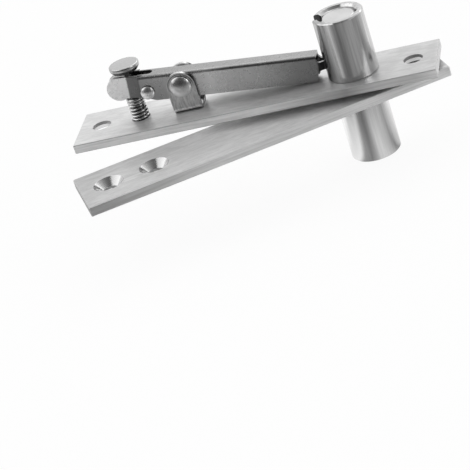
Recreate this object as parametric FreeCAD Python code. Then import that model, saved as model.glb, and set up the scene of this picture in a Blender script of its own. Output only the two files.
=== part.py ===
import FreeCAD, Part
import math
import os

os.makedirs("parts", exist_ok=True)

# Top pivot hinge for a door, drawn with the pivot pin fully extended and the door leaf part open.
# Millimetres. The origin is where the pivot axis meets the upper face of the frame plate.
# +X runs along the frame plate to its short end, +Y goes away from the viewer, +Z is up.

V = FreeCAD.Vector
ORIGIN = V(0, 0, 0)
ALONG_X = V(1, 0, 0)
ALONG_Y = V(0, 1, 0)
ALONG_Z = V(0, 0, 1)
TOOL_MARGIN = 1.0

# Screw holes of both plates, and the door plate's middle hole, from the pivot axis
far_hole = 92.3
near_hole = 20.9
middle_hole = 75.7

# Frame plate, let into the head of the door frame
frame_long_end = 100.8
frame_short_end = 29.5
frame_width = 25.4
frame_thick = 3.2
frame_hole_d = 6.9
frame_sink_d = 11.0
plate_edge = 0.25

# Door plate, let into the top edge of the door
door_long_end = 102.4
door_short_end = 29.4
door_width = 27.0
door_thick = 3.5
door_hole_d = 5.6
door_sink_d = 10.8
plate_gap = 2.1
door_angle = 23.7

# Pivot pin
pin_d = 12.7
pin_recess = 0.9
pin_tuck = 0.1
pin_top_chamfer = 0.95
pin_nose_chamfer = 1.6
running_clear = 0.05

# Guide tube on the frame plate, with a slot down the side that faces the lever
guide_od = 17.8
guide_height = 22.4
bore_chamfer = 0.8
tube_edge = 0.4
tube_foot = 0.25
spigot_d = 15.4
slot_clear = 0.35
slot_floor = 0.6

# Socket tube under the door plate, its bush, and the spacer between the plates
socket_od = 17.5
socket_depth = 22.1
bush_od = 14.4
bush_length = 20.0
bush_recess = 0.2
spacer_od = 15.8
spacer_clear = 0.2

# Lever arms: the fulcrum from the pivot axis, and the adjusting screw from the fulcrum
fulcrum_reach = 59.0
short_arm = 18.5
lever_tilt = 6.0

# Lever: one sheet folded to a channel, open below
lever_sheet = 1.0
lever_height = 9.6
lever_width = 6.6
lever_bend = 1.3
lever_plate_gap = 0.36
lever_tube_gap = 2.4
lever_end_corner = 1.5
joggle_radius = 0.8

# Nose of the lever: two flat cheeks that straddle the neck of the screw and end in round lobes.
# Its places are measured along the lever from the axis of the screw.
lobe_past_screw = 3.8
lobe_r = 4.3
nose_depth = 3.2
knee_from_screw = 3.8
root_from_screw = 9.1
joggle_from_screw = 3.6
joggle_past_screw = 0.8
neck_clear = 0.1
slot_from_screw = 8.6

# Tongue of the lever: the same two cheeks drawn together, which enter the mortise in the pin
tongue_pin_gap = 1.0
tongue_height = 3.0
tongue_rise = 0.5
tongue_width = 3.8
tongue_straight = 0.3
tongue_joggle = 2.1
tongue_corner = 0.6
tongue_root = 1.2
tongue_contact = 3.7
mortise_side_clear = 0.25
mortise_height = 4.2
mortise_depth = 7.0
mortise_corner = 0.8

# Adjusting screw
thread_d = 6.6
thread_pitch = 1.27
thread_clear = 0.075
turns = 4
neck_d = 3.0
head_d = 10.8
head_low_d = 9.0
head_thick = 2.7
head_belly = 1.2
head_edge = 0.35
head_play = 1.2
screw_chamfer = 0.6
screw_tuck = 0.3
drive_slot_width = 1.2
drive_slot_depth = 1.3

# Collar on the neck, between the thread and the lever
collar_d = 6.4
collar_play = 0.25
collar_lift = 0.2
collar_clear = 0.05
collar_edge = 0.2

# Fulcrum bracket, a folded strap with two ears
bracket_sheet = 1.2
bracket_bend = 2.6
bracket_side_clear = 0.15
ear_r = 5.1

# Rivets and the sleeve that the lever turns on
sleeve_d = 5.0
fulcrum_shank_d = 3.6
fulcrum_shoulder_d = 5.8
fulcrum_shoulder = 0.2
fulcrum_head_d = 7.7
fulcrum_head_land = 0.65
fulcrum_head_height = 2.2
fulcrum_tail_d = 6.4
fulcrum_tail_height = 1.1
tail_bevel = 0.3
nose_rivet_from_screw = 6.35
nose_rivet_drop = 1.45
nose_rivet_d = 2.6
nose_shoulder_d = 3.6
nose_shoulder = 0.35
nose_head_d = 4.9
nose_head_land = 0.7
nose_head_height = 1.7
nose_tail_d = 3.8
nose_tail_height = 0.8
base_rivet_spacing = 5.4
base_rivet_d = 2.4
base_head_d = 3.8
base_head_height = 0.8
base_sink_d = 4.0

# Sizes that follow from the ones above
tilt = math.radians(lever_tilt)
screw_reach = fulcrum_reach + short_arm
screw_along = short_arm / math.cos(tilt)
lobe_reach = screw_along + lobe_past_screw
nose_knee = screw_along - knee_from_screw
nose_root = screw_along - root_from_screw
joggle_start = screw_along - joggle_from_screw
joggle_end = screw_along + joggle_past_screw
web_slot_end = screw_along - slot_from_screw
nose_rivet_reach = screw_along - nose_rivet_from_screw
lever_end = (fulcrum_reach - guide_od / 2) / math.cos(tilt) - lever_tube_gap
tongue_tip = (fulcrum_reach - tongue_pin_gap) / math.cos(tilt)
tongue_start = lever_end + tongue_straight
tongue_drawn = tongue_start + tongue_joggle
pin_r = pin_d / 2
bore_r = pin_r + running_clear
door_top = -frame_thick - plate_gap
door_low = door_top - door_thick
socket_low = door_low - socket_depth
lever_half = lever_height / 2
fulcrum_height = lever_plate_gap + lever_end * math.sin(tilt) + lever_half * math.cos(tilt)
cheek_out = lever_width / 2
nose_in = neck_d / 2 + neck_clear
nose_out = nose_in + lever_sheet
lobe_w = lever_half - lobe_r
tongue_out = tongue_width / 2
ear_in = cheek_out + bracket_side_clear
ear_out = ear_in + bracket_sheet
lobe_x = -fulcrum_reach - lobe_reach * math.cos(tilt) + lobe_w * math.sin(tilt)
lobe_z = fulcrum_height + lobe_reach * math.sin(tilt) + lobe_w * math.cos(tilt)
screw_travel = turns * thread_pitch
lever_swing = screw_travel / (-fulcrum_reach - lobe_x)
pin_travel = lever_swing * (fulcrum_reach - tongue_contact)
pin_low = -frame_thick + pin_tuck - abs(pin_travel)
pin_high = guide_height - pin_recess
head_low = lobe_z + lobe_r + head_play
screw_low = -frame_thick + screw_tuck
shoulder = screw_travel + collar_lift - collar_clear
collar_low = shoulder + collar_clear


def prism(points, sweep):
    """Straight prism on a closed polygon."""
    return Part.Face(Part.makePolygon(points + [points[0]])).extrude(sweep)


def turned(profile):
    """Solid of revolution about the Z axis from (radius, height) points."""
    face = Part.Face(Part.makePolygon([V(r, 0, z) for r, z in profile + profile[:1]]))
    return face.revolve(ORIGIN, ALONG_Z, 360)


def hole(x, d, low, high):
    """Tool for an upright hole on the centreline of a plate."""
    return Part.makeCylinder(d / 2, high - low, V(x, 0, low), ALONG_Z)


def countersink(x, sink_d, hole_d, face_z, inward):
    """Tool for a 90 degree countersink that opens at face_z; inward is +1 up or -1 down."""
    depth = (sink_d - hole_d) / 2
    return Part.makeCone(sink_d / 2, hole_d / 2, depth, V(x, 0, face_z), V(0, 0, inward))


def flat_plate(long_end, short_end, width, low, high):
    """Flat bar along X with its edges lightly broken."""
    bar = Part.makeBox(long_end + short_end, width, high - low, V(-long_end, -width / 2, low))
    return bar.makeChamfer(plate_edge, bar.Edges)


def domed_rivet(shank_d, shoulder_d, shoulder, head_d, head_land, head_height,
                tail_d, tail_height, half_length):
    """Rivet along Y: a domed head on a low shoulder towards the viewer, and a flat tail behind."""
    dome_height = head_height - head_land
    dome_r = (head_d ** 2 / 4 + dome_height ** 2) / (2 * dome_height)
    rise = math.asin(head_d / 2 / dome_r) / 2
    land = half_length + head_land
    tip = half_length + head_height
    tail = -half_length - tail_height
    mid = V(dome_r * math.sin(rise), 0, tip - dome_r + dome_r * math.cos(rise))
    points = [
        V(0, 0, tail),
        V(tail_d / 2 - tail_bevel, 0, tail),
        V(tail_d / 2, 0, tail + tail_bevel),
        V(tail_d / 2, 0, -half_length),
        V(shank_d / 2, 0, -half_length),
        V(shank_d / 2, 0, half_length),
        V(shoulder_d / 2, 0, half_length),
        V(shoulder_d / 2, 0, half_length + shoulder),
        V(head_d / 2, 0, half_length + shoulder),
        V(head_d / 2, 0, land),
    ]
    edges = [Part.makeLine(start, end) for start, end in zip(points, points[1:])]
    edges.append(Part.Arc(points[-1], mid, V(0, 0, tip)).toShape())
    edges.append(Part.makeLine(V(0, 0, tip), points[0]))
    rivet = Part.Face(Part.Wire(edges)).revolve(ORIGIN, ALONG_Z, 360)
    rivet.rotate(ORIGIN, ALONG_X, 90)
    return rivet


def swung(shape):
    """Turn a shape made along X about the pivot axis, to where the door leaf stands."""
    shape.rotate(ORIGIN, ALONG_Z, door_angle)
    return shape


def placed_on_lever(shape):
    """Carry a shape from the lever's own frame, with the fulcrum at its origin, to the hinge."""
    shape.rotate(ORIGIN, ALONG_Y, lever_tilt)
    shape.translate(V(-fulcrum_reach, 0, fulcrum_height))
    return shape


def frame_plate():
    """Plate with the tube's hole, the tapped hole and two holes countersunk from below."""
    plate = flat_plate(frame_long_end, frame_short_end, frame_width, -frame_thick, 0)
    low, high = -frame_thick - TOOL_MARGIN, TOOL_MARGIN
    tools = [hole(0, spigot_d, low, high)]
    tools.append(hole(-screw_reach, thread_d + 2 * thread_clear, low, high))
    for x in (-far_hole, near_hole):
        tools.append(hole(x, frame_hole_d, low, high))
        tools.append(countersink(x, frame_sink_d, frame_hole_d, -frame_thick, 1))
    for side in (-1, 1):
        x = -fulcrum_reach + side * base_rivet_spacing / 2
        tools.append(hole(x, base_rivet_d, low, high))
        tools.append(countersink(x, base_sink_d, base_rivet_d, -frame_thick, 1))
    return plate.cut(tools)


def guide_tube():
    """Turned tube with a spigot staked into the plate, and the lever's slot, open at the rim."""
    outer_r = guide_od / 2
    tube = turned([
        (bore_r, -frame_thick),
        (spigot_d / 2, -frame_thick),
        (spigot_d / 2, 0),
        (outer_r - tube_foot, 0),
        (outer_r, tube_foot),
        (outer_r, guide_height - tube_edge),
        (outer_r - tube_edge, guide_height),
        (bore_r + bore_chamfer, guide_height),
        (bore_r, guide_height - bore_chamfer),
    ])
    half = tongue_out + slot_clear
    floor = slot_floor + half
    slot = Part.makeBox(guide_od, 2 * half, guide_height, V(-guide_od, -half, floor))
    round_end = Part.makeCylinder(half, guide_od, V(-guide_od, 0, floor), ALONG_X)
    return tube.cut([slot, round_end])


def pivot_pin():
    """Sliding pin with a chamfered head and nose, and a mortise in its side for the tongue."""
    pin = turned([
        (0, pin_low),
        (pin_r - pin_nose_chamfer, pin_low),
        (pin_r, pin_low + pin_nose_chamfer),
        (pin_r, pin_high - pin_top_chamfer),
        (pin_r - pin_top_chamfer, pin_high),
        (0, pin_high),
    ])
    middle = fulcrum_height - math.tan(tilt) * (fulcrum_reach - tongue_contact) + tongue_rise
    half = tongue_out + mortise_side_clear
    mortise = Part.makeBox(
        mortise_depth + TOOL_MARGIN, 2 * half, mortise_height,
        V(-pin_r - TOOL_MARGIN, -half, middle - mortise_height / 2))
    corners = [e for e in mortise.Edges if abs(e.tangentAt(e.FirstParameter).x) > 0.9]
    return pin.cut(mortise.makeFillet(mortise_corner, corners))


def inset(path, depth):
    """Offset an open path, given from left to right as (x, y), towards the centreline."""
    result = []
    for i, (x, y) in enumerate(path):
        slopes = []
        if i > 0:
            slopes.append(math.atan2(y - path[i - 1][1], x - path[i - 1][0]))
        if i < len(path) - 1:
            slopes.append(math.atan2(path[i + 1][1] - y, path[i + 1][0] - x))
        lean = sum(slopes) / len(slopes)
        reach = depth / math.cos((slopes[-1] - slopes[0]) / 2)
        result.append((x + reach * math.sin(lean), y - reach * math.cos(lean)))
    return result


def lever_cheek(side):
    """One side of the folded sheet seen from above: straight, with a joggle at each end."""
    outer = [
        (-lobe_reach - lobe_r - TOOL_MARGIN, nose_out),
        (-joggle_end, nose_out),
        (-joggle_start, cheek_out),
        (tongue_start, cheek_out),
        (tongue_drawn, tongue_out),
        (tongue_tip + TOOL_MARGIN, tongue_out),
    ]
    inner = inset(outer, lever_sheet)
    points = [V(x, side * y, -lever_half) for x, y in outer + inner[::-1]]
    cheek = prism(points, V(0, 0, lever_height))
    last = len(outer) - 1
    bends = [(x, side * y) for x, y in outer[1:last] + inner[1:last]]
    edges = []
    for edge in cheek.Edges:
        start, end = edge.Vertexes[0].Point, edge.Vertexes[-1].Point
        upright = abs(end.z - start.z) > lever_height / 2
        if upright and any(math.hypot(start.x - x, start.y - y) < 0.01 for x, y in bends):
            edges.append(edge)
    return cheek.makeFillet(joggle_radius, edges)


def lever_channel():
    """The straight middle of the lever: an upturned channel with rounded folds."""
    def section(half, top, bend, low):
        corner = bend * (1 - math.sqrt(0.5))
        corners = [V(0, -half, low), V(0, -half, top - bend), V(0, bend - half, top)]
        corners += [V(0, half - bend, top), V(0, half, top - bend), V(0, half, low)]
        left = Part.Arc(corners[1], V(0, corner - half, top - corner), corners[2]).toShape()
        right = Part.Arc(corners[3], V(0, half - corner, top - corner), corners[4]).toShape()
        edges = [Part.makeLine(corners[0], corners[1]), left, Part.makeLine(corners[2], corners[3])]
        edges += [right, Part.makeLine(corners[4], corners[5]), Part.makeLine(corners[5], corners[0])]
        return Part.Face(Part.Wire(edges)).extrude(V(joggle_start + lever_end, 0, 0))

    outer = section(cheek_out, lever_half, lever_bend, -lever_half)
    inner = section(cheek_out - lever_sheet, lever_half - lever_sheet, lever_bend - lever_sheet,
                    -lever_half - TOOL_MARGIN)
    channel = outer.cut(inner)
    channel.translate(V(-joggle_start, 0, 0))
    return channel


def lever_side_view():
    """Side view of the whole lever, as a block: lobe, nose, straight back and tongue."""
    def at(x, z):
        return V(x, -lever_width, z)

    def line(start, end):
        return Part.makeLine(start, end)

    def arc(start, centre, radius, angle, end):
        turn = math.radians(angle)
        middle = V(centre.x + radius * math.cos(turn), -lever_width,
                   centre.z + radius * math.sin(turn))
        return Part.Arc(start, middle, end).toShape()

    nose_run = math.sqrt(lobe_r ** 2 - (nose_depth + lobe_w) ** 2)
    lobe = at(-lobe_reach, lobe_w)
    lobe_top = at(-lobe_reach, lever_half)
    lobe_meet = at(-lobe_reach + nose_run, -nose_depth)
    knee = at(-nose_knee, -nose_depth)
    root = at(-nose_root, -lever_half)
    low_a = at(lever_end - lever_end_corner, -lever_half)
    low_b = at(lever_end, -lever_half + lever_end_corner)
    tongue_low = tongue_rise - tongue_height / 2
    tongue_high = tongue_rise + tongue_height / 2
    root_a = at(lever_end, tongue_low - tongue_root)
    root_b = at(lever_end + tongue_root, tongue_low)
    tip_a = at(tongue_tip - tongue_corner, tongue_low)
    tip_b = at(tongue_tip, tongue_low + tongue_corner)
    tip_c = at(tongue_tip, tongue_high - tongue_corner)
    tip_d = at(tongue_tip - tongue_corner, tongue_high)
    root_c = at(lever_end + tongue_root, tongue_high)
    root_d = at(lever_end, tongue_high + tongue_root)
    top = at(lever_end, lever_half)
    corner_low = at(lever_end - lever_end_corner, -lever_half + lever_end_corner)
    corner_a = at(lever_end + tongue_root, tongue_low - tongue_root)
    corner_b = at(lever_end + tongue_root, tongue_high + tongue_root)
    edges = [
        arc(lobe_top, lobe, lobe_r, 180, lobe_meet),
        line(lobe_meet, knee),
        line(knee, root),
        line(root, low_a),
        arc(low_a, corner_low, lever_end_corner, -45, low_b),
        line(low_b, root_a),
        arc(root_a, corner_a, tongue_root, 135, root_b),
        line(root_b, tip_a),
        line(tip_a, tip_b),
        line(tip_b, tip_c),
        line(tip_c, tip_d),
        line(tip_d, root_c),
        arc(root_c, corner_b, tongue_root, 225, root_d),
        line(root_d, top),
        line(top, lobe_top),
    ]
    return Part.Face(Part.Wire(edges)).extrude(V(0, 2 * lever_width, 0))


def fold_waste(side):
    """What a square corner has outside the rounded fold, along the straight middle."""
    run = joggle_start + lever_end
    size = lever_bend + TOOL_MARGIN
    middle_y = side * (cheek_out - lever_bend)
    middle_z = lever_half - lever_bend
    block = Part.makeBox(run, size, size, V(-joggle_start, min(middle_y, middle_y + side * size), middle_z))
    return block.cut(Part.makeCylinder(lever_bend, run, V(-joggle_start, middle_y, middle_z), ALONG_X))


def lever():
    """Folded lever: channel and two cheeks cut to the side view, with its slot and holes."""
    sheet = lever_channel().fuse([lever_cheek(-1), lever_cheek(1)])
    blank = sheet.common(lever_side_view()).cut([fold_waste(-1), fold_waste(1)])
    slot_length = lobe_reach + lobe_r
    slot_centre = web_slot_end + nose_in
    slot = Part.makeBox(slot_length, 2 * nose_in, lever_height,
                        V(-slot_centre - slot_length, -nose_in, lever_half - 2 * lever_sheet))
    slot_tip = Part.makeCylinder(nose_in, lever_height, V(-slot_centre, 0, lever_half - 2 * lever_sheet))
    bearing = Part.makeCylinder(sleeve_d / 2 + running_clear, 2 * lever_width,
                                V(0, -lever_width, 0), ALONG_Y)
    rivet_hole = Part.makeCylinder(nose_rivet_d / 2, 2 * lever_width,
                                   V(-nose_rivet_reach, -lever_width, -nose_rivet_drop), ALONG_Y)
    return placed_on_lever(blank.cut([slot, slot_tip, bearing, rivet_hole]).removeSplitter())


def nose_rivet():
    """Small rivet that ties the two cheeks behind the neck of the screw."""
    rivet = domed_rivet(nose_rivet_d, nose_shoulder_d, nose_shoulder, nose_head_d, nose_head_land,
                        nose_head_height, nose_tail_d, nose_tail_height, cheek_out)
    rivet.translate(V(-nose_rivet_reach, 0, -nose_rivet_drop))
    return placed_on_lever(rivet)


def fulcrum_bracket():
    """Strap folded to a U: a base on the plate and two round-topped ears."""
    inner_bend = bracket_bend - bracket_sheet
    outer_block = Part.makeBox(2 * ear_r, 2 * ear_out, fulcrum_height + ear_r,
                               V(-fulcrum_reach - ear_r, -ear_out, 0))
    inner_block = Part.makeBox(2 * ear_r, 2 * ear_in, fulcrum_height + ear_r,
                               V(-fulcrum_reach - ear_r, -ear_in, bracket_sheet))

    def rounded(block, radius):
        low = block.BoundBox.ZMin
        folds = [e for e in block.Edges
                 if abs(e.tangentAt(e.FirstParameter).x) > 0.9 and e.CenterOfMass.z < low + 0.01]
        return block.makeFillet(radius, folds)

    strap = rounded(outer_block, bracket_bend).cut(rounded(inner_block, inner_bend))
    round_top = Part.makeCylinder(ear_r, 2 * ear_out,
                                  V(-fulcrum_reach, -ear_out, fulcrum_height), ALONG_Y)
    below = Part.makeBox(2 * ear_r, 2 * ear_out, fulcrum_height,
                         V(-fulcrum_reach - ear_r, -ear_out, 0))
    tools = [Part.makeCylinder(fulcrum_shank_d / 2, 2 * ear_out,
                               V(-fulcrum_reach, -ear_out, fulcrum_height), ALONG_Y)]
    for side in (-1, 1):
        x = -fulcrum_reach + side * base_rivet_spacing / 2
        tools.append(hole(x, base_rivet_d, -TOOL_MARGIN, bracket_sheet + TOOL_MARGIN))
    return strap.common(round_top.fuse(below).removeSplitter()).cut(tools)


def fulcrum_rivet():
    """Large rivet through both ears."""
    rivet = domed_rivet(fulcrum_shank_d, fulcrum_shoulder_d, fulcrum_shoulder, fulcrum_head_d,
                        fulcrum_head_land, fulcrum_head_height, fulcrum_tail_d,
                        fulcrum_tail_height, ear_out)
    rivet.translate(V(-fulcrum_reach, 0, fulcrum_height))
    return rivet


def fulcrum_sleeve():
    """Sleeve on the rivet, clamped between the ears, that the lever turns on."""
    length = 2 * ear_in
    start = V(-fulcrum_reach, -ear_in, fulcrum_height)
    outer = Part.makeCylinder(sleeve_d / 2, length, start, ALONG_Y)
    return outer.cut(Part.makeCylinder(fulcrum_shank_d / 2, length, start, ALONG_Y))


def bracket_rivets():
    """Two rivets that hold the bracket's base, set flush in the plate's lower face."""
    sink = (base_sink_d - base_rivet_d) / 2
    shank_r = base_rivet_d / 2
    head_top = bracket_sheet + base_head_height
    rivets = []
    for side in (-1, 1):
        rivet = turned([
            (0, -frame_thick),
            (base_sink_d / 2, -frame_thick),
            (shank_r, sink - frame_thick),
            (shank_r, bracket_sheet),
            (base_head_d / 2, bracket_sheet),
            (base_head_d / 2, head_top),
            (0, head_top),
        ])
        rivet.translate(V(-fulcrum_reach + side * base_rivet_spacing / 2, 0, 0))
        rivets.append(rivet)
    return Part.makeCompound(rivets)


def adjusting_screw():
    """Screw with a bevelled disc head, a long neck, and a driving slot in its lower end."""
    thread_r = thread_d / 2
    neck_r = neck_d / 2
    head_top = head_low + head_thick
    screw = turned([
        (0, screw_low),
        (thread_r - screw_chamfer, screw_low),
        (thread_r, screw_low + screw_chamfer),
        (thread_r, shoulder),
        (neck_r, shoulder),
        (neck_r, head_low),
        (head_low_d / 2, head_low),
        (head_d / 2, head_low + head_belly),
        (head_d / 2, head_top - head_edge),
        (head_d / 2 - head_edge, head_top),
        (0, head_top),
    ])
    slot = Part.makeBox(thread_d, drive_slot_width, drive_slot_depth,
                        V(-thread_r, -drive_slot_width / 2, screw_low))
    screw = screw.cut(slot)
    screw.translate(V(-screw_reach, 0, 0))
    return screw


def neck_collar():
    """Plain ring on the screw's neck, on the thread's shoulder and under the lever's cheeks."""
    run = fulcrum_reach - screw_reach + collar_d / 2
    cheek_low = fulcrum_height - math.tan(tilt) * run - nose_depth / math.cos(tilt)
    high = cheek_low - collar_play
    outer_r = collar_d / 2
    bore = neck_d / 2 + collar_clear
    ring = turned([
        (bore, collar_low),
        (outer_r - collar_edge, collar_low),
        (outer_r, collar_low + collar_edge),
        (outer_r, high - collar_edge),
        (outer_r - collar_edge, high),
        (bore, high),
    ])
    ring.translate(V(-screw_reach, 0, 0))
    return ring


def door_plate():
    """Plate with the socket tube's hole and three holes countersunk from above."""
    plate = flat_plate(door_long_end, door_short_end, door_width, door_low, door_top)
    low, high = door_low - TOOL_MARGIN, door_top + TOOL_MARGIN
    tools = [hole(0, spigot_d, low, high)]
    for x in (-far_hole, -middle_hole, near_hole):
        tools.append(hole(x, door_hole_d, low, high))
        tools.append(countersink(x, door_sink_d, door_hole_d, door_top, -1))
    return swung(plate.cut(tools))


def socket_tube():
    """Tube under the door plate, with a spigot staked into it."""
    outer_r = socket_od / 2
    return turned([
        (bush_od / 2, door_top),
        (spigot_d / 2, door_top),
        (spigot_d / 2, door_low),
        (outer_r, door_low),
        (outer_r, socket_low + tube_edge),
        (outer_r - tube_edge, socket_low),
        (bush_od / 2, socket_low),
    ])


def socket_bush():
    """Plain bearing bush pressed into the socket tube, with a lead-in for the pin."""
    high = door_top - bush_recess
    low = high - bush_length
    return turned([
        (bore_r, low),
        (bush_od / 2, low),
        (bush_od / 2, high),
        (bore_r + tube_edge, high),
        (bore_r, high - tube_edge),
    ])


def spacer_ring():
    """Ring on the door plate round the pin, which keeps the two plates apart."""
    bore = bore_r + spacer_clear
    return turned([
        (bore, door_top),
        (spacer_od / 2, door_top),
        (spacer_od / 2, -frame_thick - spacer_clear),
        (bore, -frame_thick - spacer_clear),
    ])


NODES = {
    "frame_plate": frame_plate,
    "guide_tube": guide_tube,
    "pivot_pin": pivot_pin,
    "lever": lever,
    "nose_rivet": nose_rivet,
    "fulcrum_bracket": fulcrum_bracket,
    "bracket_rivets": bracket_rivets,
    "fulcrum_rivet": fulcrum_rivet,
    "fulcrum_sleeve": fulcrum_sleeve,
    "adjusting_screw": adjusting_screw,
    "neck_collar": neck_collar,
    "door_plate": door_plate,
    "socket_tube": socket_tube,
    "socket_bush": socket_bush,
    "spacer_ring": spacer_ring,
}

for name, make in NODES.items():
    shape = make()
    shape.exportStep("parts/" + name + ".step")
    print(name, "valid", shape.isValid(), "solids", len(shape.Solids), "mm3", round(shape.Volume, 1))

print("screw travel", round(screw_travel, 4), "lever swing deg", round(math.degrees(lever_swing), 4),
      "pin travel", round(pin_travel, 4), "fulcrum height", round(fulcrum_height, 4))
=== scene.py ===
import math
import bmesh
import bpy
from mathutils import Euler, Matrix, Vector


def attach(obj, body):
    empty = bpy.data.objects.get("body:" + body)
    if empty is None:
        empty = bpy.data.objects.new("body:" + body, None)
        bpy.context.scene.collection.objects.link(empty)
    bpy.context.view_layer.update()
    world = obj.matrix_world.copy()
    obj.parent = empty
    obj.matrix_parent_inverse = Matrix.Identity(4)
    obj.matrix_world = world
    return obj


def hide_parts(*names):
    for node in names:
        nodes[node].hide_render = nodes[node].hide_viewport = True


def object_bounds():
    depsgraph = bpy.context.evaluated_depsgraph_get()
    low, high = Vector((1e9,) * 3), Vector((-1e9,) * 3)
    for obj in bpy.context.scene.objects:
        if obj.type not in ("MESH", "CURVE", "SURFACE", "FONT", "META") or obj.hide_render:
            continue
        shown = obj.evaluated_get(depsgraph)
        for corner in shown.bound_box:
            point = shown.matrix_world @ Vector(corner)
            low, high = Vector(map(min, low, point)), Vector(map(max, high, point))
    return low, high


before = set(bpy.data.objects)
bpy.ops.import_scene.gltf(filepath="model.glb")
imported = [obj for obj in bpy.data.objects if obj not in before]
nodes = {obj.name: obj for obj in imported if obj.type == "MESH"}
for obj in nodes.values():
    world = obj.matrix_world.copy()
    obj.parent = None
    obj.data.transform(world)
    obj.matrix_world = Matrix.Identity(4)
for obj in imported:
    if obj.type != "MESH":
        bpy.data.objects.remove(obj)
cad_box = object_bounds()


# Frame plate. A flat bar of stainless steel that is let into the head of the door frame.
# It is cut from brushed strip, so the grain runs along its length, and its sheared edges are
# duller than its faces. The holes are drilled, and deburred by hand.
plate_grain_length = 0.012
plate_grain_width = 0.0007
plate_grain = (1 / plate_grain_length, 1 / plate_grain_width, 1 / plate_grain_width)
plate_hair = (220, 9000, 9000)
plate_smudge = (150, 420, 420)
plate_shear = (55, 1500, 1500)
plate_rough = 0.42
plate_edge_soft = 0.00010
plate_rim = 0.0006
drilled_tone = 0.42
countersunk_tone = 0.56
# grey of the shade painted under the lever
lever_shade_tone = 0.36


def grey(tone):
    """Opaque grey colour."""
    return (tone, tone, tone, 1)


class Finish:
    """Node tree of a material, with short ways to add the nodes that the finishes need."""

    def __init__(self, owner):
        self.owner = owner
        owner.use_nodes = True
        self.tree = owner.node_tree
        self.tree.nodes.clear()

    def feed(self, socket, value):
        """Give an input a constant, or the output that drives it."""
        if isinstance(value, bpy.types.NodeSocket):
            self.tree.links.new(value, socket)
        else:
            socket.default_value = value

    def add(self, kind, **settings):
        """Add a node; each setting is the value of an input, or else a property."""
        node = self.tree.nodes.new("ShaderNode" + kind)
        for key, value in settings.items():
            title = key.replace("_", " ")
            if title in node.inputs:
                self.feed(node.inputs[title], value)
            else:
                setattr(node, key, value)
        return node

    def fed(self, node, values):
        """Feed a node's inputs in their order, and return the node."""
        for socket, value in zip(node.inputs, values):
            self.feed(socket, value)
        return node

    def place(self):
        """Place on the piece, in metres."""
        return self.add("TexCoord").outputs["Object"]

    def parts(self, vector):
        """X, Y and Z of a vector."""
        return self.add("SeparateXYZ", Vector=vector).outputs

    def normal(self, kind="Normal"):
        """X, Y and Z of the direction in which the surface faces."""
        return self.parts(self.add("NewGeometry").outputs[kind])

    def sum(self, operation, *values):
        """Result of a sum with plain values."""
        return self.fed(self.add("Math", operation=operation), values).outputs[0]

    def vector(self, operation, *values):
        """Result of a sum with vectors: a vector, or the value of a length or a product."""
        node = self.fed(self.add("VectorMath", operation=operation), values)
        return node.outputs["Value" if operation in ("LENGTH", "DOT_PRODUCT") else "Vector"]

    def scaled(self, colour, factor):
        """Colour times a value."""
        return self.fed(self.add("VectorMath", operation="SCALE", Scale=factor),
                        (colour,)).outputs["Vector"]

    def share(self, value, low, high, to_low=0.0, to_high=1.0, **settings):
        """Share of the way from low to high, kept to its ends, and carried over to a new range."""
        return self.add("MapRange", Value=value, From_Min=low, From_Max=high,
                        To_Min=to_low, To_Max=to_high, **settings).outputs["Result"]

    def between(self, factor, first, second):
        """Mix of two plain values."""
        node = self.add("Mix", data_type="FLOAT", Factor=factor)
        self.feed(node.inputs[2], first)
        self.feed(node.inputs[3], second)
        return node.outputs[0]

    def blend(self, factor, first, second, kind="MIX"):
        """Mix of two colours."""
        node = self.add("Mix", data_type="RGBA", blend_type=kind, Factor=factor)
        self.feed(node.inputs[6], first)
        self.feed(node.inputs[7], second)
        return node.outputs[2]

    def darkened(self, colour, tone, factor=1.0):
        """Colour times a grey."""
        return self.blend(factor, colour, tone, "MULTIPLY")

    def ramp(self, value, stops):
        """Grey at a value, from (share, grey) stops."""
        node = self.add("ValToRGB", Fac=value)
        elements = node.color_ramp.elements
        while len(elements) < len(stops):
            elements.new(0.5)
        for element, (share, tone) in zip(elements, stops):
            element.position = share
            element.color = grey(tone)
        return node.outputs["Color"]

    def noise(self, place, waves, detail, **settings):
        """Noise with so many waves per metre, alike along all axes or given for each."""
        if isinstance(waves, tuple):
            place = self.add("Mapping", Vector=place, Scale=waves).outputs["Vector"]
            waves = 1.0
        return self.add("TexNoise", Vector=place, Scale=waves, Detail=detail,
                        **settings).outputs["Fac"]

    def soft_edge(self, radius):
        """Direction of the surface with its edges rounded."""
        return self.add("Bevel", Radius=radius, samples=6).outputs["Normal"]

    def dent(self, height, strength, depth, **settings):
        """Direction of a surface that is dented by a height."""
        return self.add("Bump", Height=height, Strength=strength, Distance=depth,
                        **settings).outputs["Normal"]

    def show(self, surface, kind="Material"):
        """Give the owner its surface, and return it."""
        self.add("Output" + kind, Surface=surface)
        return self.owner

    def metal(self, **settings):
        """Give the owner a surface of metal, and return it."""
        return self.show(self.add("BsdfPrincipled", **settings).outputs["BSDF"])


def tone_along(steel, length, tones, start=-0.10, run=0.14):
    """Grey at a length in metres; tones are (place, grey) pairs."""
    share = steel.share(length, start, start + run)
    return steel.ramp(share, [((place - start) / run, tone) for place, tone in tones])


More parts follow.
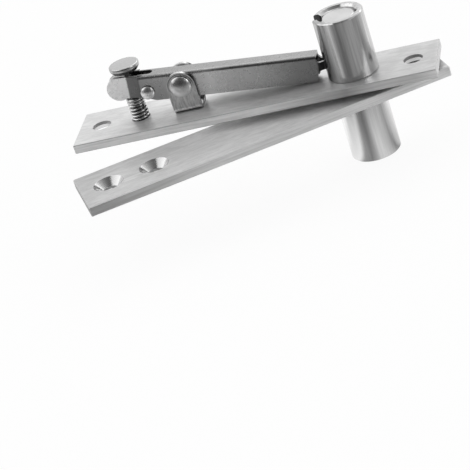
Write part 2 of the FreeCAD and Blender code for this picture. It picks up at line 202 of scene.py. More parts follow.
def brushed_strip(name, tone, painted_corner_tone, turn_deg, size, face_painted_light, edge_painted_light,
                  shade_under_lever=None):
    """Brushed strip steel: long fine grain on the faces, duller on sheared edges; light and shade
    painted along faces, edges and broken corner, and painted shade under the lever.
    """
    half_width, long_end, short_end = size
    steel = Finish(bpy.data.materials.new(name))
    place = steel.place()
    turned = steel.add("Mapping", vector_type="TEXTURE", Vector=place,
                       Rotation=(0, 0, math.radians(turn_deg))).outputs["Vector"]
    strip_place = steel.parts(turned)
    along = strip_place["X"]
    off_centre = steel.sum("ABSOLUTE", strip_place["Y"])

    # faces: streaks along the strip, light and shade painted by length, painted shade under the
    # lever, and smudges
    streaks = steel.noise(turned, plate_grain, 6.0, Roughness=0.65)
    clouds = steel.noise(place, 85.0, 4.0, Roughness=0.6)
    smudges = steel.noise(turned, plate_smudge, 5.0, Roughness=0.7, Distortion=0.6)
    face_tone = steel.ramp(steel.between(0.4, streaks, clouds),
                           ((0.3, tone * 0.80), (0.7, min(tone * 1.10, 1))))
    # painted light and shade along the strip's length
    face_tone = steel.darkened(face_tone, tone_along(steel, along, face_painted_light))
    # painted shade under the lever, darkest along the strip's middle line
    if shade_under_lever is not None:
        near_centre = steel.share(off_centre, 0.0085, 0.0015, interpolation_type="SMOOTHSTEP")
        lever_shade_share = steel.sum("MULTIPLY", near_centre, tone_along(steel, along, shade_under_lever))
        face_tone = steel.darkened(face_tone, grey(lever_shade_tone), lever_shade_share)
    face_tone = steel.scaled(face_tone, steel.share(smudges, 0.35, 0.62, 0.88, 1.04))

    # sheared edges, with light and shade painted along them by length
    shear = steel.noise(turned, plate_shear, 4.0, Roughness=0.6)
    edge_tone = steel.darkened(steel.ramp(shear, ((0.35, 0.78), (0.65, 1.0))),
                               tone_along(steel, along, edge_painted_light))
    face = steel.share(steel.sum("ABSOLUTE", steel.normal()["Z"]), 0.35, 0.95)
    colour = steel.blend(face, edge_tone, face_tone)

    # walls of the drilled holes, countersinks, and the broken corner along the strip, which is
    # painted dark as a shaded line
    true_up = steel.sum("ABSOLUTE", steel.normal("True Normal")["Z"])
    slanted = steel.sum("COMPARE", true_up, 0.70, 0.18)
    at_rim = steel.sum("GREATER_THAN", off_centre, half_width - plate_rim)
    corner = steel.sum("MULTIPLY", slanted, at_rim)
    sunk = steel.sum("SUBTRACT", slanted, corner)
    from_middle = steel.sum("ABSOLUTE",
                            steel.sum("SUBTRACT", along, (short_end - long_end) / 2))
    inside_ends = steel.sum("LESS_THAN", from_middle, (short_end + long_end) / 2 - plate_rim)
    inside = steel.sum("MULTIPLY", inside_ends, steel.sum("SUBTRACT", 1.0, at_rim))
    hole_wall = steel.sum("MULTIPLY", inside, steel.sum("LESS_THAN", true_up, 0.35))
    colour = steel.blend(hole_wall, colour, grey(drilled_tone))
    colour = steel.blend(sunk, colour, grey(countersunk_tone))
    # the broken corner painted dark as a shaded line
    colour = steel.blend(corner, colour, grey(painted_corner_tone))

    face_rough = steel.share(smudges, 0.0, 1.0, plate_rough + 0.10, plate_rough - 0.10)
    roughness = steel.between(sunk, steel.between(face, 0.55, face_rough), 0.20)
    metallic = steel.sum("MAXIMUM", steel.share(face, 0.0, 1.0, 0.10, 0.55), sunk)
    hair = steel.noise(turned, plate_hair, 3.0, Roughness=0.7)
    normal = steel.dent(streaks, 0.34, 0.00005, Normal=steel.soft_edge(plate_edge_soft))
    return steel.metal(Base_Color=colour, Metallic=metallic, Roughness=roughness,
                       Anisotropic=0.35, Normal=steel.dent(hair, 0.25, 0.00002, Normal=normal))


def dress(node_name, material):
    """Give a carried-over node its finish."""
    mesh = nodes[node_name].data
    mesh.materials.clear()
    mesh.materials.append(material)


# painted light and shade along the plate's faces and edges, a painted dark line on its broken
# corner, and painted shade under the lever
dress("frame_plate", brushed_strip(
    "frame_plate_brushed", 0.92, 0.42, 0, (0.0127, 0.1008, 0.0295),
    ((-0.10, 0.826), (-0.079, 0.826), (-0.070, 0.88), (-0.058, 0.98), (-0.048, 0.87),
     (-0.035, 0.72), (-0.01, 0.793), (0.008, 0.66), (0.03, 0.611)),
    ((-0.10, 0.84), (-0.074, 1.0), (-0.034, 1.0), (-0.018, 0.70), (-0.002, 0.34),
     (0.008, 0.60), (0.022, 0.60), (0.0295, 0.85)),
    shade_under_lever=((-0.10, 0.0), (-0.056, 0.0), (-0.048, 0.75), (-0.034, 1.0), (-0.024, 0.8),
             (-0.014, 0.0))))


# Guide tube. A turned stainless tube, staked into the frame plate and slotted for the lever.
# The lathe leaves rings round it, and it is then polished along its length on a belt.
turned_ring_pitch = 0.00035
belt_grain = (1100, 1100, 28)
tube_edge_soft = 0.00012
tube_slot_half = 0.00232
slot_shade_tone = 0.24
painted_band_deg = -145


def faced_ends(steel):
    """Metal share of a piece whose upward end is faced and left duller than its sides."""
    return steel.share(steel.normal()["Z"], 0.90, 0.98, 1.0, 0.5)


def turned_steel(name, tone, rough, spread, streak_depth, slot_half=None):
    """Turned steel: fine rings about an upright axis and streaks along it; with a slot, a painted
    dark band down one side and painted shade in the milled slot.
    """
    steel = Finish(bpy.data.materials.new(name))
    place = steel.place()
    parts = steel.parts(place)
    outwards = steel.add("CombineXYZ", X=parts["X"], Y=parts["Y"]).outputs["Vector"]
    ring_place = steel.add("CombineXYZ", X=steel.vector("LENGTH", outwards),
                           Y=parts["Z"]).outputs["Vector"]
    rings = steel.noise(ring_place, 1 / turned_ring_pitch, 3.0, Roughness=0.6)
    streaks = steel.noise(place, belt_grain, 6.0, Roughness=0.62)
    colour = steel.ramp(streaks, ((0.3, tone * (1 - streak_depth)), (0.7, tone)))
    if slot_half is not None:
        # painted shade: a dark band down the side towards the lever, darkest low on the tube
        way = math.radians(painted_band_deg)
        towards_painted_band = steel.vector("DOT_PRODUCT", steel.vector("NORMALIZE", outwards),
                                     (math.cos(way), math.sin(way), 0))
        painted_band_tone = steel.share(parts["Z"], 0.006, 0.022, 0.36, 0.72)
        colour = steel.scaled(colour, steel.share(towards_painted_band, 0.78, 0.95, 1.0, painted_band_tone))
        # painted shade inside the milled slot
        narrow = steel.sum("LESS_THAN", steel.sum("ABSOLUTE", parts["Y"]), slot_half)
        in_slot = steel.sum("MULTIPLY", narrow, steel.sum("LESS_THAN", parts["X"], 0.0))
        colour = steel.blend(in_slot, colour, grey(slot_shade_tone))
    normal = steel.dent(streaks, 0.5, 0.00006, Normal=steel.soft_edge(tube_edge_soft))
    around = steel.add("Tangent", direction_type="RADIAL", axis="Z").outputs["Tangent"]
    return steel.metal(Base_Color=colour, Metallic=faced_ends(steel),
                       Roughness=steel.share(streaks, 0.0, 1.0, rough - 0.04, rough + 0.06),
                       Anisotropic=spread, Anisotropic_Rotation=0.25, Tangent=around,
                       Normal=steel.dent(rings, 0.12, 0.00002, Normal=normal))


dress("guide_tube", turned_steel("guide_tube_turned", 0.72, 0.14, 0.8, 0.34, tube_slot_half))


# Pivot pin. A solid turned pin that slides in the guide tube and turns in the socket tube.
# Its end is faced on the lathe, with a broad chamfer, and its side is ground.
dress("pivot_pin", turned_steel("pivot_pin_ground", 0.67, 0.24, 0.5, 0.06))


# Lever. One strip of stainless sheet folded to a channel that is open below, with both ends
# formed. The faces keep the satin grain of the sheet; light and shade are painted along the
# sides, on the folds and on the top, the lobe is painted light, and the screw head's shadow is
# painted on the lobe's top.
sheet_grain = (300, 2600, 2600)
sheet_mottle = 420.0
sheet_edge_soft = 0.00016
lever_top_shade_tone = 0.36
head_shadow_tone = 0.03
screw_x = -0.0775
head_cover = 0.0046
short_arm = 0.0185
fulcrum_place = (-0.0590, 0, 0.0101486)
lever_lean = math.radians(6.0)
lever_along = (-math.cos(lever_lean), 0, math.sin(lever_lean))
lever_to_screw = short_arm / math.cos(lever_lean)
lever_stops = (
    # share of the way to the lobe, painted light and shade of the side, metal share of the side
    (0.0, 0.12, 1.0), (0.098, 0.12, 1.0), (0.106, 0.46, 1.0), (0.20, 0.50, 1.0),
    (0.344, 0.66, 0.81), (0.471, 0.63, 0.58), (0.577, 0.80, 0.55), (0.66, 0.72, 1.0),
    (0.747, 0.60, 1.0), (0.886, 0.42, 1.0), (0.891, 0.17, 1.0), (0.942, 0.19, 1.0),
    (0.946, 0.95, 0.22))


def satin_sheet(name, tone, rough, marks_and_painted_light):
    """Satin stainless sheet with a soft mottle; the last argument adds its marks and its painted
    light and shade.
    """
    steel = Finish(bpy.data.materials.new(name))
    place = steel.place()
    grain = steel.noise(place, sheet_grain, 4.0, Roughness=0.65)
    mottle = steel.noise(place, sheet_mottle, 5.0, Roughness=0.6)
    sheet = steel.ramp(steel.between(0.5, grain, mottle),
                       ((0.32, tone * 0.88), (0.68, min(tone * 1.05, 1))))
    # marks, and painted light and shade, from the given function
    colour, metallic = marks_and_painted_light(steel, place, sheet)
    return steel.metal(Base_Color=colour, Metallic=metallic,
                       Roughness=steel.share(mottle, 0.0, 1.0, rough - 0.06, rough + 0.08),
                       Normal=steel.dent(mottle, 0.04, 0.00003,
                                         Normal=steel.soft_edge(sheet_edge_soft)))


def lever_painted_light(steel, place, sheet):
    """Painted light and shade of the lever: its sides by length, its folds, its top, and the screw
    head's shadow on its lobe.
    """
    fulcrum_along = (fulcrum_place[2] * math.sin(lever_lean)
                     - fulcrum_place[0] * math.cos(lever_lean))
    screw_along = fulcrum_along + lever_to_screw
    where = steel.share(steel.vector("DOT_PRODUCT", place, lever_along),
                        screw_along - 0.075, screw_along + 0.005)
    # painted light and shade along the sides by length, with the lobe painted light
    side = steel.darkened(sheet, steel.ramp(
        where, [(share, tone) for share, tone, metal in lever_stops]))
    side_metal = steel.ramp(where, [(share, metal) for share, tone, metal in lever_stops])
    level = steel.normal()["Z"]
    # painted shade on the lever's upward faces
    back = steel.share(level, 0.86, 0.97)
    fold = steel.sum("COMPARE", level, 0.48, 0.30)
    # painted light and shade on the folds: darker than the side towards the far end, lighter
    # towards the lobe
    fold_painted_tone = steel.scaled(steel.blend(steel.share(where, 0.52, 0.70), side, sheet), 0.75)
    colour = steel.blend(fold, side, fold_painted_tone)
    colour = steel.blend(back, colour, steel.darkened(sheet, grey(lever_top_shade_tone)))
    fold_metal = steel.sum("MULTIPLY", fold, steel.share(where, 0.50, 0.80, 1.0, 0.40))
    metallic = steel.between(back, steel.sum("MAXIMUM", fold_metal, side_metal), 0.45)
    # painted shadow of the screw's head on the lobe's top
    lobe_top = steel.sum("MULTIPLY", steel.sum("GREATER_THAN", where, lever_stops[-1][0]),
                         steel.sum("GREATER_THAN", level, 0.6))
    covered = steel.sum("COMPARE", steel.parts(place)["X"], screw_x, head_cover)
    under_head = steel.sum("MULTIPLY", lobe_top, covered)
    return steel.blend(under_head, colour, grey(head_shadow_tone)), metallic


dress("lever", satin_sheet("lever_satin", 1.0, 0.27, lever_painted_light))


# Fulcrum bracket. A short strap of like sheet, folded to a U with two round-topped ears.
# It is blanked and folded cold. Its right-facing rim is painted dark as shade, the foot has a
# painted contact shadow and highlight, and rings of painted highlight and shade lie round the
# rivet's eye.
eye_r = 0.0051
eye_painted_rings = ((0.0, 0.30), (0.755, 0.30), (0.775, 1.0), (0.82, 1.0), (0.85, 0.34), (0.90, 0.34),
             (0.94, 1.0), (1.0, 1.0))
foot_height = 0.006
foot_shadow_and_highlight = ((0.0, 0.06), (0.07, 0.06), (0.10, 1.0), (0.24, 1.0), (0.34, 0.78), (1.0, 0.78))
scuff_grain = (1300, 1300, 300)
right_rim_shade_tone = 0.05


def bracket_scuffs_and_painted_light(steel, place, sheet):
    """Tones of the bracket: painted highlight and shade rings round the eye, painted shadow and
    highlight at the foot, scuffs, and painted shade on the right-facing rim.
    """
    parts = steel.parts(place)
    above_eye = steel.sum("SUBTRACT", parts["Z"], fulcrum_place[2])
    from_eye = steel.add("CombineXYZ", X=steel.sum("SUBTRACT", parts["X"], fulcrum_place[0]),
                         Z=above_eye).outputs["Vector"]
    # painted highlight and shade rings round the eye, on its upper half only
    rings = steel.ramp(steel.share(steel.vector("LENGTH", from_eye), 0.0, eye_r), eye_painted_rings)
    upper = steel.share(above_eye, -0.0015, 0.0010)
    # painted contact shadow at the foot, with a painted highlight on the bend above it
    foot_painted_tone = steel.ramp(steel.share(parts["Z"], 0.0, foot_height), foot_shadow_and_highlight)
    colour = steel.darkened(steel.darkened(sheet, rings, upper), foot_painted_tone)
    scuffs = steel.noise(place, scuff_grain, 4.0, Roughness=0.65)
    colour = steel.scaled(colour, steel.share(scuffs, 0.32, 0.58, 0.62, 1.06))
    # painted shade on the rim faces that face to the right
    right_facing = steel.share(steel.normal()["X"], 0.35, 0.60)
    return steel.blend(right_facing, colour, grey(right_rim_shade_tone)), 1.0


dress("fulcrum_bracket", satin_sheet("bracket_satin", 0.95, 0.30, bracket_scuffs_and_painted_light))


# Rivets. Cold-headed stainless rivets: the large one is the lever's fulcrum, the small one ties
# the lever's cheeks behind the screw, and two more hold the bracket's base.
rivet_marks = 900.0
groove_shade_tone = 0.06
nose_rivet_back = lever_to_screw - 0.00635
nose_rivet_drop = 0.00145
nose_rivet_place = (
    fulcrum_place[0] - nose_rivet_back * math.cos(lever_lean)
    - nose_rivet_drop * math.sin(lever_lean),
    0,
    fulcrum_place[2] + nose_rivet_back * math.sin(lever_lean)
    - nose_rivet_drop * math.cos(lever_lean))


def headed_steel(name, tone, rough, groove=None, ripple=0.08):
    """Bright steel with faint waviness and small marks; groove gives painted shade inside a radius
    below a height, and painted shade on downward faces above it.
    """
    steel = Finish(bpy.data.materials.new(name))
    place = steel.place()
    marks = steel.noise(place, rivet_marks, 4.0, Roughness=0.6)
    colour = steel.ramp(marks, ((0.3, tone * 0.92), (0.7, tone * 1.04)))
    metallic = 1.0
    if groove is not None:
        axis_x, root, crest, top, tone_above = groove
        parts = steel.parts(place)
        outwards = steel.add("CombineXYZ", X=steel.sum("SUBTRACT", parts["X"], axis_x),
                             Y=parts["Y"]).outputs["Vector"]
        # painted shade in the roots of the thread or the hollows of the grooves
        depth = steel.share(steel.vector("LENGTH", outwards), crest, root)
        below = steel.sum("LESS_THAN", parts["Z"], top)
        colour = steel.blend(steel.sum("MULTIPLY", depth, below), colour, grey(groove_shade_tone))
        # painted shadow on downward faces above the top, as under the screw's head
        underside_shade = steel.share(steel.normal()["Z"], -0.30, -0.05,
                                tone_above * 0.12, tone_above)
        colour = steel.scaled(colour, steel.between(below, underside_shade, 1.0))
        metallic = faced_ends(steel)
    return steel.metal(Base_Color=colour, Metallic=metallic,
                       Roughness=steel.share(marks, 0.0, 1.0, rough - 0.03, rough + 0.06),
                       Normal=steel.dent(marks, ripple, 0.00004))


def eased(corners, steps=5):
    """Turn (radius, height, easing) corners into a profile whose eased corners are small arcs."""
    points = []
    for i, (radius, height, easing) in enumerate(corners):
        here = Vector((radius, height))
        if easing == 0 or i in (0, len(corners) - 1):
            points.append((radius, height))
            continue
        back = (Vector(corners[i - 1][:2]) - here).normalized()
        ahead = (Vector(corners[i + 1][:2]) - here).normalized()
        start, end = here + back * easing, here + ahead * easing
        for step in range(steps + 1):
            share = step / steps
            point = (1 - share) ** 2 * start + 2 * share * (1 - share) * here + share ** 2 * end
            points.append((point.x, point.y))
    return points


def finished(name, mesh):
    """Put a mesh in the scene with its faces turned outwards and smooth, sharp corners kept."""
    work = bmesh.new()
    work.from_mesh(mesh)
    bmesh.ops.remove_doubles(work, verts=work.verts, dist=1e-7)
    bmesh.ops.dissolve_degenerate(work, edges=work.edges, dist=1e-8)
    bmesh.ops.recalc_face_normals(work, faces=work.faces)
    work.to_mesh(mesh)
    work.free()
    mesh.shade_smooth()
    mesh.set_sharp_from_angle(angle=math.radians(40))
    piece = bpy.data.objects.new(name, mesh)
    bpy.context.scene.collection.objects.link(piece)
    return piece


def lathed(name, profile, place, lean=(0, 0, 0), sides=96, ring=False):
    """Mesh object turned from a (radius, height) profile, in metres; a ring's one is closed."""
    turn = Matrix.Translation(place) @ Euler(lean).to_matrix().to_4x4()
    verts, rings, faces = [], [], []
    for radius, height in profile:
        if radius < 1e-7:
            rings.append([len(verts)] * sides)
            verts.append(turn @ Vector((0, 0, height)))
            continue
        rings.append(list(range(len(verts), len(verts) + sides)))
        for side in range(sides):
            angle = 2 * math.pi * side / sides
            verts.append(turn @ Vector((radius * math.cos(angle), radius * math.sin(angle),
                                        height)))
    pairs = list(zip(rings, rings[1:])) + ([(rings[-1], rings[0])] if ring else [])
    for low, high in pairs:
        for side in range(sides):
            nxt = (side + 1) % sides
            corners = [low[side], low[nxt], high[nxt], high[side]]
            faces.append([c for i, c in enumerate(corners) if c != corners[i - 1]])
    mesh = bpy.data.meshes.new(name)
    mesh.from_pydata(verts, [], faces)
    return finished(name, mesh)


def rivet_profile(shank, shoulder, lift, head, land, height, tail, tail_height, half_length):
    """Profile of a rivet: flat tail, shank, low shoulder, and a domed head with a land."""
    corners = [(0, -half_length - tail_height, 0),
               (tail / 2, -half_length - tail_height, 0.00035),
               (tail / 2, -half_length, 0), (shank / 2, -half_length, 0),
               (shank / 2, half_length, 0), (shoulder / 2, half_length, 0),
               (shoulder / 2, half_length + lift, 0),
               (head / 2, half_length + lift, 0.00010),
               (head / 2, half_length + land, 0.00012)]
    rise = height - land
    dome = (head * head / 4 + rise * rise) / (2 * rise)
    spread = math.asin(head / 2 / dome)
    steps = 18
    arc = []
    for step in range(1, steps + 1):
        angle = spread * (1 - step / steps)
        arc.append((dome * math.sin(angle), half_length + height - dome + dome * math.cos(angle)))
    profile = eased(corners + [arc[0] + (0,)])
    arc[-1] = (0, half_length + height)
    return profile + arc[1:]


fulcrum_head = lathed("fulcrum_rivet_head", rivet_profile(
    0.0036, 0.0058, 0.0002, 0.0077, 0.00065, 0.0022, 0.0064, 0.0011, 0.00465),
    fulcrum_place, (math.pi / 2, 0, 0))
nose_head = lathed("nose_rivet_head", rivet_profile(
    0.0026, 0.0036, 0.00035, 0.0049, 0.0007, 0.0017, 0.0038, 0.0008, 0.0033),
    nose_rivet_place, (math.pi / 2, 0, 0))
fulcrum_head.data.materials.append(headed_steel("fulcrum_rivet_bright", 0.74, 0.27, ripple=0.34))
nose_head.data.materials.append(headed_steel("nose_rivet_bright", 0.95, 0.28, ripple=0.30))
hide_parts("fulcrum_rivet")
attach(fulcrum_head, "frame")
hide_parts("nose_rivet")
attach(nose_head, "lever_arm")
for rivet_name in ("bracket_rivets", "fulcrum_sleeve"):
    dress(rivet_name, headed_steel(rivet_name + "_bright", 0.70, 0.20))


# Adjusting screw. A turned screw with a bevelled disc head, a long neck and a rolled thread.
# It is driven from below, through the plate, by the slot milled across its lower end.
screw_low = -0.0029
screw_shoulder = 0.00523
screw_head_low = 0.0184874
screw_chamfer = 0.0006
neck_r = 0.0015
thread_pitch = 0.00127
thread_crest = 0.0033
thread_root = 0.00262
thread_sides = 96
thread_steps = 12
groove_shade_edge = 0.00008


def thread_radius(phase):
    """Radius of the rolled thread at a phase from 0 to 1 of a pitch: rounded crest and root."""
    swing = math.cos(2 * math.pi * phase)
    swing = math.copysign(abs(swing) ** 0.8, swing)
    return (thread_crest + thread_root) / 2 + (thread_crest - thread_root) / 2 * swing


def screw_mesh():
    """One closed mesh: lower end, right-hand thread, shoulder, neck and head."""
    head_top = screw_head_low + 0.0027
    head = eased([(neck_r, screw_head_low, 0), (0.0045, screw_head_low, 0.0003),
                  (0.0054, screw_head_low + 0.0012, 0.0005), (0.0054, head_top, 0.0006),
                  (0, head_top, 0)], steps=7)
    turns = math.ceil((screw_shoulder - screw_low) / thread_pitch) + 2
    rows = []
    for step in range(turns * thread_steps + 1):
        row = []
        for side in range(thread_sides):
            height = screw_low + thread_pitch * (step / thread_steps + side / thread_sides - 1)
            height = min(max(height, screw_low), screw_shoulder)
            phase = (height - screw_low) / thread_pitch - side / thread_sides
            radius = min(thread_radius(phase), thread_crest - screw_chamfer + height - screw_low)
            row.append((min(radius, thread_root + (screw_shoulder - height) * 0.8), height))
        rows.append(row)
    rows += [[point] * thread_sides for point in [(neck_r, screw_shoulder)] + head[:-1]]

    verts, faces = [(screw_x, 0, screw_low)], []
    for row in rows:
        for side, (radius, height) in enumerate(row):
            angle = 2 * math.pi * side / thread_sides
            verts.append((screw_x + radius * math.cos(angle), radius * math.sin(angle), height))
    verts.append((screw_x, 0, head_top))
    last_row = 1 + (len(rows) - 1) * thread_sides
    for low in range(1, last_row, thread_sides):
        high = low + thread_sides
        for side in range(thread_sides):
            nxt = (side + 1) % thread_sides
            faces.append((low + side, low + nxt, high + nxt, high + side))
    for side in range(thread_sides):
        nxt = (side + 1) % thread_sides
        faces.append((0, 1 + nxt, 1 + side))
        faces.append((len(verts) - 1, last_row + side, last_row + nxt))
    mesh = bpy.data.meshes.new("threaded_screw")
    mesh.from_pydata(verts, [], faces)
    return mesh


def cut_slot(piece, width, depth):
    """Mill the driving slot across the lower end of the screw."""
    cutter_mesh = bpy.data.meshes.new("slot_cutter")
    cutter_work = bmesh.new()
    bmesh.ops.create_cube(cutter_work, size=1.0)
    bmesh.ops.scale(cutter_work, vec=(0.012, width, 2 * depth), verts=cutter_work.verts)
    bmesh.ops.translate(cutter_work, vec=(screw_x, 0, screw_low), verts=cutter_work.verts)
    cutter_work.to_mesh(cutter_mesh)
    cutter_work.free()
    cutter = bpy.data.objects.new("slot_cutter", cutter_mesh)
    bpy.context.scene.collection.objects.link(cutter)
    milling = piece.modifiers.new("milling", "BOOLEAN")
    milling.operation = "DIFFERENCE"
    milling.solver = "EXACT"
    milling.object = cutter
    bpy.context.view_layer.update()
    shaped = bpy.data.meshes.new_from_object(piece.evaluated_get(
        bpy.context.evaluated_depsgraph_get()))
    piece.modifiers.clear()
    piece.data = shaped
    bpy.data.objects.remove(cutter)


screw = finished("threaded_screw", screw_mesh())
cut_slot(screw, 0.0012, 0.0013)
screw.data.materials.clear()
# painted shade in the thread's roots and under the head
screw.data.materials.append(headed_steel(
    "adjusting_screw_bright", 0.74, 0.19,
    (screw_x, thread_root, thread_crest - groove_shade_edge, screw_shoulder, 0.70), ripple=0.20))
screw.data.shade_smooth()
screw.data.set_sharp_from_angle(angle=math.radians(40))
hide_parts("adjusting_screw")
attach(screw, "screw")


# Neck collar. A ring on the screw's neck that keeps the lever off the thread. It is turned from
# the same bar as the screw, with two grooves round it for grease, whose hollows are painted shade.
collar_low = 0.00528
collar_high = 0.0082892
collar_crest = 0.0032
collar_groove = 0.0027
collar_bore = 0.00155
collar_edge = 0.0002
collar_waves = 1.2
collar_steps = 32
collar_profile = [(collar_bore, collar_low), (collar_crest - collar_edge, collar_low)]
for step in range(collar_steps + 1):
    share = step / collar_steps
    swell = abs(math.cos(share * 2 * collar_waves * math.pi)) ** 0.7
    collar_profile.append((
        collar_groove + (collar_crest - collar_groove) * swell,
        collar_low + collar_edge + (collar_high - collar_low - 2 * collar_edge) * share))
collar_profile += [(collar_crest - 2 * collar_edge, collar_high), (collar_bore, collar_high)]
collar = lathed("grooved_collar", collar_profile, (screw_x, 0, 0), ring=True)
# painted shade in the grooves' hollows
collar.data.materials.append(headed_steel(
    "neck_collar_bright", 0.72, 0.16,
    (screw_x, collar_groove, collar_crest - groove_shade_edge, 1.0, 1.0)))
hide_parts("neck_collar")
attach(collar, "carriage")


# Door plate. The same brushed strip as the frame plate, let into the top edge of the door, and
# turned with it. Its three screw holes are countersunk from above.
# painted light and shade along the plate's faces and edges, and a painted dark line on its broken
# corner
dress("door_plate", brushed_strip(
    "door_plate_brushed", 0.77, 0.80, 23.7, (0.0135, 0.1024, 0.0294),
    ((-0.10, 0.70), (-0.075, 0.90), (-0.04, 1.0), (0.0, 1.0), (0.014, 0.84), (0.03, 0.84)),
    ((-0.10, 0.42), (-0.08, 0.58), (-0.055, 0.84), (0.03, 0.84))))


# Socket tube. A turned stainless tube staked under the door plate, and polished like the guide
# tube. It sits in a bore in the door's top edge.
dress("socket_tube", turned_steel("socket_tube_turned", 0.80, 0.17, 0.8, 0.14))


# Socket bush and spacer ring. The bush is sintered bronze, pressed into the socket tube.
# The ring is plain turned steel and keeps the plates apart.
dress("socket_bush", headed_steel("socket_bush_bronze", 0.5, 0.4))
dress("spacer_ring", turned_steel("spacer_ring_turned", 0.5, 0.3, 0.4, 0.08))


# Studio. A white floor under the hinge, a pale surround that is darker on the viewer's side,
# a dark card on the floor in front that only reflections see, and four soft lamps. The lowest
# lamp only lights, and shows in no reflection.
floor_height = cad_box[0][2]
paper_glow = 0.93


def studio_sheet(name, half, height, material):
    """Level square sheet, centred under the pivot."""
    mesh = bpy.data.meshes.new(name)
    mesh.from_pydata([(-half, -half, 0), (half, -half, 0), (half, half, 0), (-half, half, 0)],
                     [], [(0, 1, 2, 3)])
    mesh.materials.append(material)
    sheet = bpy.data.objects.new(name, mesh)
    bpy.context.scene.collection.objects.link(sheet)
    sheet.location = (0, 0, height)
    return sheet


def glowing_paper():
    """White paper that looks evenly lit, whatever light falls on it."""
    paper = Finish(bpy.data.materials.new("studio_paper"))
    fibres = paper.add("TexNoise", Scale=400.0, Detail=3.0).outputs["Fac"]
    lit = paper.add("BsdfDiffuse", Color=paper.ramp(fibres, ((0.3, 0.90), (0.7, 0.92))))
    glow = paper.add("Emission", Strength=1.0)
    rays = paper.add("LightPath").outputs
    seen = paper.sum("MAXIMUM", rays["Is Camera Ray"], rays["Is Glossy Ray"])
    seen = paper.sum("MAXIMUM", seen, rays["Is Transmission Ray"])
    both = paper.fed(paper.add("MixShader"), (
        paper.sum("MULTIPLY", seen, paper_glow), lit.outputs["BSDF"], glow.outputs["Emission"]))
    return paper.show(both.outputs[0])


floor = studio_sheet("studio_floor", 3.0, floor_height - 0.0002, glowing_paper())

# tones of the card at distances from the pivot, in metres, by angle round it, in degrees
card_angles = (-180, -140, -134, -127, -120, -97, -84, -72, -55, -25, -8, 14, 40, 110, 180)
card_rings = {
    0.045: (1, 1, 0.90, 0.58, 0.34, 0.24, 0.38, 0.66, 0.68, 0.52, 0.36, 0.84, 1, 1, 1),
    0.062: (0.14, 0.12, 0.60, 0.55, 0.30, 0.21, 0.32, 0.38, 0.42, 0.42, 0.30, 0.50, 1, 1, 1),
    0.108: (0.14, 0.12, 0.75, 0.75, 0.26, 0.21, 0.32, 0.38, 0.42, 0.42, 0.30, 0.50, 1, 1, 1),
    0.118: (0.60, 0.60, 0.80, 0.75, 0.26, 0.21, 0.32, 0.38, 0.42, 0.42, 0.30, 0.50, 1, 1, 1),
    0.160: (0.85, 0.90, 0.85, 0.60, 0.40, 0.30, 0.34, 0.38, 0.42, 0.42, 0.40, 0.60, 0.95, 1, 0.95),
    0.260: (0.60, 0.40, 0.26, 0.20, 0.16, 0.14, 0.14, 0.14, 0.14, 0.20, 0.30, 0.50, 0.95, 1, 0.90),
}


def card_paint():
    """Greys of the card, which glow so that they reach the reflections as they are."""
    paint = Finish(bpy.data.materials.new("studio_card_grey"))
    place = paint.place()
    parts = paint.parts(place)
    turn = paint.share(paint.sum("ARCTAN2", parts["Y"], parts["X"]), -math.pi, math.pi)
    reach = paint.vector("LENGTH", place)
    tone = None
    last_reach = 0
    for ring_reach, ring_tones in card_rings.items():
        ring = paint.ramp(turn, [((angle + 180) / 360, ring_tone)
                                 for angle, ring_tone in zip(card_angles, ring_tones)])
        if tone is None:
            tone = ring
        else:
            tone = paint.blend(paint.share(reach, last_reach, ring_reach), tone, ring)
        last_reach = ring_reach
    clouds = paint.noise(place, 24.0, 1.0)
    glow = paint.add("Emission", Color=tone,
                     Strength=paint.share(clouds, 0.35, 0.65, 0.75, 1.15))
    return paint.show(glow.outputs["Emission"])


card = studio_sheet("studio_card", 2.8, floor_height - 0.0001, card_paint())
card.visible_camera = False
card.visible_diffuse = False
card.visible_shadow = False
card.visible_transmission = False

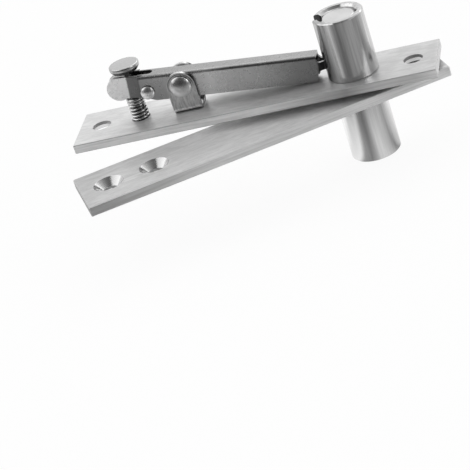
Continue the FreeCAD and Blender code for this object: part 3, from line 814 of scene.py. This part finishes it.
surround = Finish(bpy.data.worlds.new("studio_surround"))
bpy.context.scene.world = surround.owner
towards = surround.parts(surround.add("TexCoord").outputs["Generated"])
sky_tone = surround.ramp(surround.share(towards["Y"], -1.0, 1.0), (
    (0.0, 0.05), (0.22, 0.06), (0.5, 0.50), (0.75, 0.92), (1.0, 1.0)))
sky_light = surround.add("Background", Color=sky_tone, Strength=1.0)
surround.show(sky_light.outputs["Background"], "World")


def soft_lamp(name, place, aim, size, power):
    """Square area lamp aimed at a point."""
    lamp = bpy.data.lights.new(name, "AREA")
    lamp.size = size
    lamp.energy = power
    stand = bpy.data.objects.new(name, lamp)
    bpy.context.scene.collection.objects.link(stand)
    stand.location = place
    stand.rotation_euler = (Vector(aim) - Vector(place)).to_track_quat("-Z", "Y").to_euler()
    return stand


soft_lamp("lamp_left", (-0.90, -0.10, 0.90), (-0.03, 0, 0), 1.2, 5.0)
soft_lamp("lamp_back", (0.30, 0.90, 1.00), (-0.03, 0, 0), 1.2, 5.0)
soft_lamp("lamp_front", (1.24, -0.48, 0.62), (0, 0, 0), 0.6, 4.0)
low_lamp = soft_lamp("lamp_low", (-1.10, -0.95, 0.34), (-0.03, 0, 0), 0.9, 4.0)
low_lamp.visible_glossy = False

# Camera, far off with a long lens, at the angle from which the hinge was looked at.
camera_place = Vector((0.13565, -0.67772, 0.29132))
camera_forward = Vector((-0.2476, 0.8639, -0.4387)).normalized()
camera_right = Vector((0.9505, 0.1289, -0.2828))
camera_right = (camera_right - camera_right.dot(camera_forward) * camera_forward).normalized()
camera_up = camera_right.cross(camera_forward)
lens = bpy.data.cameras.new("viewer")
lens.sensor_width = 36
lens.lens = 166.87
lens.clip_start = 0.01
viewer = bpy.data.objects.new("viewer", lens)
bpy.context.scene.collection.objects.link(viewer)
viewer.matrix_world = Matrix((
    (camera_right.x, camera_up.x, -camera_forward.x, camera_place.x),
    (camera_right.y, camera_up.y, -camera_forward.y, camera_place.y),
    (camera_right.z, camera_up.z, -camera_forward.z, camera_place.z),
    (0, 0, 0, 1),
))
bpy.context.scene.camera = viewer
bpy.context.scene.view_settings.view_transform = "Standard"
